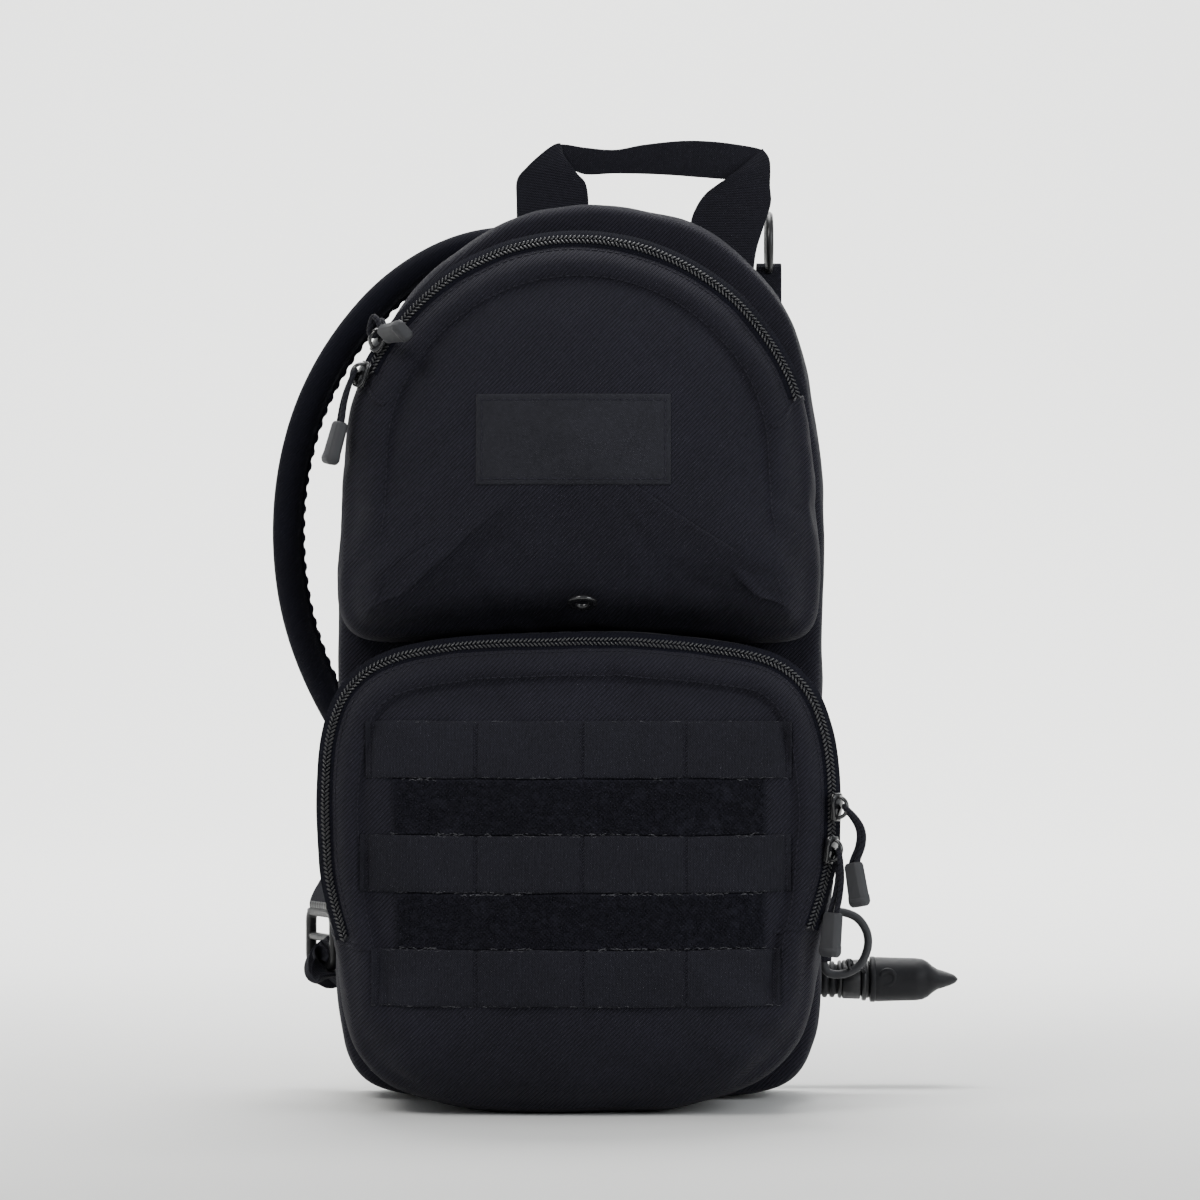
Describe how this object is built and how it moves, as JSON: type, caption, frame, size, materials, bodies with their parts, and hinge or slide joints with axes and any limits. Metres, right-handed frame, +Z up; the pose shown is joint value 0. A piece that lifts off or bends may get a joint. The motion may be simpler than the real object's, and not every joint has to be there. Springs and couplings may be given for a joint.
{
  "type": "hydration pack",
  "caption": "Small backpack with two zipped pockets, webbing rows, a grab handle, padded straps and an inner water reservoir with a sleeved drinking tube and covered bite valve.",
  "frame": {"origin": "middle of the flat base, on the floor, under the main compartment", "axes": "+Z up, front faces -Y, +X to the right seen from the front"},
  "size_m": [0.3277, 0.2107, 0.441],
  "materials": {
    "body_fabric": "woven 600-denier polyester, matt",
    "webbing": "ribbed polyester webbing",
    "loop_pile": "loop-fastener pile, matt",
    "patch_fabric": "flat woven patch with a stitched border",
    "mesh_fabric": "spacer mesh over foam",
    "zip_chain": "nylon coil zip",
    "slider_metal": "glossy black painted",
    "pull_cord": "braided cord",
    "pull_rubber": "moulded, satin",
    "buckle_plastic": "acetal, semi-gloss",
    "sleeve_fabric": "woven insulating sleeve",
    "valve_plastic": "moulded, satin",
    "valve_rubber": "silicone, satin",
    "loop_rubber": "moulded cord, satin",
    "reservoir_film": "clear blue film, filled",
    "reservoir_plastic": "moulded"
  },
  "bodies": {
    "pack": {"main_compartment": "body_fabric", "upper_pocket": "body_fabric", "lower_pocket": "body_fabric", "tube_port": "body_fabric", "webbing_row_low": "webbing", "webbing_row_middle": "webbing", "webbing_row_top": "webbing", "handle_tabs": "webbing", "ring_tab": "webbing", "strap_webbing_left": "webbing", "strap_webbing_right": "webbing", "lock_tab_left": "webbing", "lock_tab_right": "webbing", "side_loop_tab": "webbing", "reservoir_hanger": "webbing", "loop_strip_low": "loop_pile", "loop_strip_top": "loop_pile", "patch": "patch_fabric", "back_panel": "mesh_fabric", "back_pad_left": "mesh_fabric", "back_pad_right": "mesh_fabric", "lumbar_pad": "mesh_fabric", "shoulder_strap_left": "mesh_fabric", "shoulder_strap_right": "mesh_fabric", "upper_zip_chain": "zip_chain", "lower_zip_chain": "zip_chain", "upper_eyelet": "slider_metal", "lower_eyelet": "slider_metal", "valve_leash": "pull_cord", "ladder_lock_left": "buckle_plastic", "ladder_lock_right": "buckle_plastic", "drinking_tube": "sleeve_fabric", "ribbed_sleeve": "valve_plastic", "shutoff_body": "valve_plastic", "bite_valve": "valve_rubber", "reservoir_bag": "reservoir_film", "inner_tube": "reservoir_film", "fill_port": "reservoir_plastic", "cap_seal": "reservoir_plastic", "outlet_connector": "reservoir_plastic"},
    "upper_slider_a": {"upper_zip_slider_a": "slider_metal"},
    "upper_pull_a": {"upper_zip_pull_cord_a": "pull_cord", "upper_zip_pull_end_a": "pull_rubber"},
    "upper_slider_b": {"upper_zip_slider_b": "slider_metal"},
    "upper_pull_b": {"upper_zip_pull_cord_b": "pull_cord", "upper_zip_pull_end_b": "pull_rubber"},
    "lower_slider_a": {"lower_zip_slider_a": "slider_metal"},
    "lower_pull_a": {"lower_zip_pull_cord_a": "pull_cord", "lower_zip_pull_end_a": "pull_rubber"},
    "lower_slider_b": {"lower_zip_slider_b": "slider_metal"},
    "lower_pull_b": {"lower_zip_pull_cord_b": "pull_cord", "lower_zip_pull_end_b": "pull_rubber"},
    "handle": {"grab_handle": "webbing"},
    "ring": {"strap_ring": "buckle_plastic"},
    "side_loop": {"side_loop": "loop_rubber"},
    "shutoff": {"shutoff_collar": "valve_plastic"},
    "cover": {"valve_cover": "valve_rubber"},
    "cap": {"fill_cap": "reservoir_plastic"},
    "button": {"release_button": "reservoir_plastic"}
  },
  "joints": [
    {"name": "upper_slider_a_run", "type": "hinge", "parent": "pack", "child": "upper_slider_a", "pos_m": [0, -0.036, 0.292], "axis": [0, 1, 0], "range_deg": [0, 125]},
    {"name": "upper_pull_a_swing", "type": "hinge", "parent": "upper_slider_a", "child": "upper_pull_a", "pos_m": [-0.09536, -0.036, 0.35392], "axis": [0, -1, 0], "range_deg": [0, 150]},
    {"name": "upper_slider_b_run", "type": "hinge", "parent": "pack", "child": "upper_slider_b", "pos_m": [0, -0.036, 0.292], "axis": [0, 1, 0], "range_deg": [-2, 0]},
    {"name": "upper_pull_b_swing", "type": "hinge", "parent": "upper_slider_b", "child": "upper_pull_b", "pos_m": [-0.10427, -0.036, 0.33734], "axis": [0, 1, 0], "range_deg": [0, 120]},
    {"name": "lower_slider_a_run", "type": "hinge", "parent": "pack", "child": "lower_slider_a", "pos_m": [0, -0.07, 0.145], "axis": [0, 1, 0], "range_deg": [-22, 0]},
    {"name": "lower_pull_a_swing", "type": "hinge", "parent": "lower_slider_a", "child": "lower_pull_a", "pos_m": [0.12253, -0.07, 0.13858], "axis": [0, -1, 0], "range_deg": [0, 140]},
    {"name": "lower_slider_b_run", "type": "hinge", "parent": "pack", "child": "lower_slider_b", "pos_m": [0, -0.07, 0.145], "axis": [0, 1, 0], "range_deg": [0, 9]},
    {"name": "lower_pull_b_swing", "type": "hinge", "parent": "lower_slider_b", "child": "lower_pull_b", "pos_m": [0.11979, -0.07, 0.11844], "axis": [0, -1, 0], "range_deg": [0, 16]},
    {"name": "handle_flop", "type": "hinge", "parent": "pack", "child": "handle", "pos_m": [0.0285, 0.0503, 0.418], "axis": [1, 0, 0], "range_deg": [-80, 80]},
    {"name": "ring_swing", "type": "hinge", "parent": "pack", "child": "ring", "pos_m": [0.0905, 0.066, 0.3885], "axis": [0, 1, 0], "range_deg": [0, 80]},
    {"name": "side_loop_swing", "type": "hinge", "parent": "pack", "child": "side_loop", "pos_m": [0.116, 0.047, 0.0705], "axis": [0, 0, 1], "range_deg": [-15, 0]},
    {"name": "shutoff_twist", "type": "hinge", "parent": "pack", "child": "shutoff", "pos_m": [0.13, 0.08, 0.05], "axis": [1, 0, 0], "range_deg": [0, 90]},
    {"name": "cover_pull_off", "type": "slide", "parent": "pack", "child": "cover", "axis": [1, 0, 0], "range_m": [0, 0.035]},
    {"name": "fill_cap_turn", "type": "hinge", "parent": "pack", "child": "cap", "pos_m": [0, 0.005, 0.276], "axis": [0, -1, 0], "range_deg": [0, 90]},
    {"name": "release_button_press", "type": "slide", "parent": "pack", "child": "button", "axis": [0, 0, 1], "range_m": [0, 0.002], "stiffness_N_per_m": 200}
  ]
}
